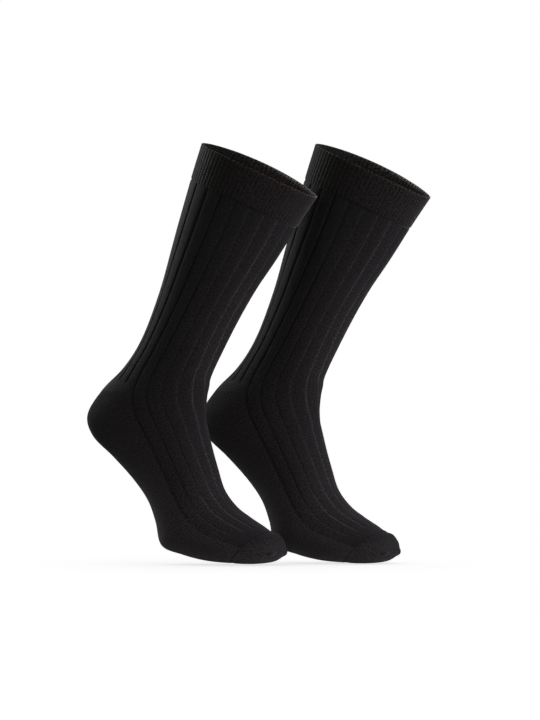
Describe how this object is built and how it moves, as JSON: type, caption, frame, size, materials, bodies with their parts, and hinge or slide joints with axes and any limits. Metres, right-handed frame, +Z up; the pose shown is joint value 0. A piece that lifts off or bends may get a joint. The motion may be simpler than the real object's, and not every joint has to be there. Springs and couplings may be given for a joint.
{
  "type": "pair of ribbed dress socks, filled out as worn",
  "caption": "Pair of black mid-calf dress socks with wide ribs, plain heels and toes, hollow and filled out as if worn on tiptoe.",
  "frame": {"origin": "middle of the front sock's mouth, where the leg goes in and holds the sock up", "axes": "+X towards the toes, +Y from the front sock to the rear sock, +Z up"},
  "size_m": [0.3433, 0.1794, 0.4338],
  "materials": {
    "cuff_knit": "matt black 1x1 rib knit",
    "leg_knit": "matt black wide rib knit",
    "ankle_knit": "matt black wide rib knit",
    "heel_knit": "matt black plain knit",
    "instep_knit": "matt black wide rib knit",
    "sole_knit": "matt black plain knit",
    "toe_knit": "matt black plain knit, a little coarser and greyer"
  },
  "bodies": {
    "root": {"front_cuff": "cuff_knit", "front_leg": "leg_knit", "front_ankle": "ankle_knit", "front_heel": "heel_knit", "front_instep": "instep_knit", "front_sole": "sole_knit", "front_toe": "toe_knit", "rear_cuff": "cuff_knit", "rear_leg": "leg_knit", "rear_ankle": "ankle_knit", "rear_heel": "heel_knit", "rear_instep": "instep_knit", "rear_sole": "sole_knit", "rear_toe": "toe_knit"}
  },
  "joints": []
}
